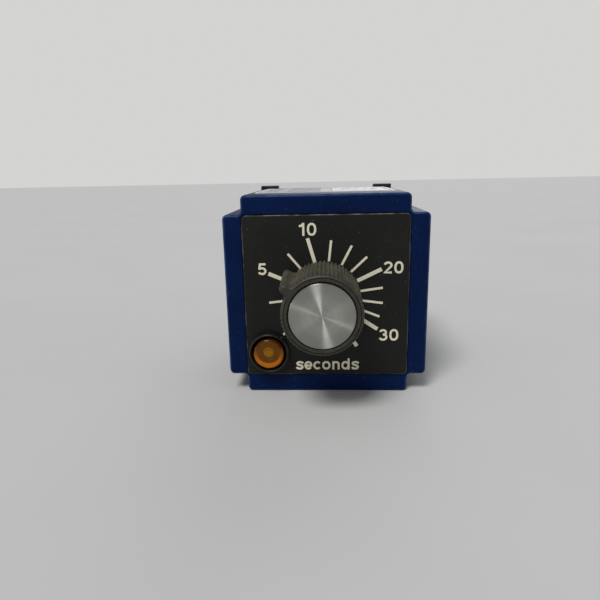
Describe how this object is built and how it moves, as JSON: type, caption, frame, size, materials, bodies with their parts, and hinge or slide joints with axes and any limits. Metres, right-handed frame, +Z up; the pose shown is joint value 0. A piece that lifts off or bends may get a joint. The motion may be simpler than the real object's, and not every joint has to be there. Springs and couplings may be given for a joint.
{
  "type": "plug-in interval timer",
  "caption": "Square plug-in interval timer: blue cross-section housing, black face with seconds scale, fluted pointer knob, amber lamp, round pin plug at the back.",
  "frame": {"origin": "centre of the flat underside that the timer rests on, midway between the housing's front and rear", "axes": "+Z up, +Y towards the plug pins at the back, the knob and face look along -Y, +X to the right seen from the front"},
  "size_m": [0.05, 0.0777, 0.0511],
  "materials": {
    "blue_housing": "moulded, satin",
    "face_paint": "satin black with cream print",
    "label_foil": "satin foil",
    "knob_plastic": "moulded, fluted",
    "spun_aluminium": "spun, concentric brush marks",
    "turned_brass": "turned",
    "pin_brass": "drawn, lightly tarnished",
    "plated_steel": "zinc plated",
    "shaft_aluminium": "drawn",
    "copper": "enamelled or bare copper",
    "black_moulding": "moulded",
    "amber_lens": "clear tinted moulding",
    "bulb_glass": "clear",
    "board_laminate": "paper laminate",
    "phenolic": "punched laminate",
    "white_nylon": "moulded",
    "clear_cover": "clear moulding",
    "capacitor_dip": "dipped",
    "capacitor_sleeve": "shrunk sleeve"
  },
  "bodies": {
    "case": {"housing": "blue_housing", "face_plate": "face_paint", "rating_label": "label_foil", "pot_bushing": "turned_brass", "pot_washer": "plated_steel", "pot_nut": "plated_steel", "pot_can": "plated_steel", "pot_track": "phenolic", "lamp_bezel": "black_moulding", "lamp_lens": "amber_lens", "neon_bulb": "bulb_glass", "lamp_clip": "plated_steel", "lamp_lead_1": "copper", "lamp_lead_2": "copper", "lamp_resistor": "phenolic", "plug_base": "black_moulding", "contact_pin_1": "pin_brass", "contact_pin_2": "pin_brass", "contact_pin_3": "pin_brass", "contact_pin_4": "pin_brass", "contact_pin_5": "pin_brass", "contact_pin_6": "pin_brass", "contact_pin_7": "pin_brass", "contact_pin_8": "pin_brass", "contact_pin_9": "pin_brass", "contact_pin_10": "pin_brass", "contact_pin_11": "pin_brass", "base_screw_1": "plated_steel", "base_screw_2": "plated_steel", "pin_board": "board_laminate", "timer_board": "board_laminate", "power_board": "board_laminate", "relay_base": "black_moulding", "relay_yoke": "plated_steel", "relay_core": "plated_steel", "relay_bobbin": "white_nylon", "relay_winding": "copper", "relay_contact_open": "turned_brass", "relay_contact_closed": "turned_brass", "relay_hinge_spring": "plated_steel", "relay_cover": "clear_cover", "timing_capacitor": "capacitor_dip", "timer_chip": "black_moulding", "driver_transistor": "black_moulding", "trimmer_body": "capacitor_sleeve", "smoothing_capacitor": "capacitor_sleeve", "dropper_capacitor": "capacitor_dip", "rectifier": "black_moulding"},
    "knob": {"knob_body": "knob_plastic", "knob_cap": "spun_aluminium", "knob_insert": "turned_brass", "knob_grub_screw": "plated_steel", "pot_shaft": "shaft_aluminium", "pot_wiper": "copper"},
    "armature": {"relay_armature": "plated_steel", "relay_contact_arm": "copper"},
    "trimmer": {"trimmer_wheel": "white_nylon"}
  },
  "joints": [
    {"name": "knob_turn", "type": "hinge", "parent": "case", "child": "knob", "pos_m": [-0.0008, -0.0215, 0.025], "axis": [0, 1, 0], "range_deg": [-77, 204]},
    {"name": "armature_pull", "type": "hinge", "parent": "case", "child": "armature", "pos_m": [-0.0067, -0.0006, 0.025], "axis": [0, 0, 1], "range_deg": [0, 4], "stiffness_Nm_per_rad": 0.01, "springref_deg": -5.73},
    {"name": "trimmer_turn", "type": "hinge", "parent": "case", "child": "trimmer", "pos_m": [0.0136, -0.00165, 0.014], "axis": [1, 0, 0], "range_deg": [-135, 135]}
  ]
}
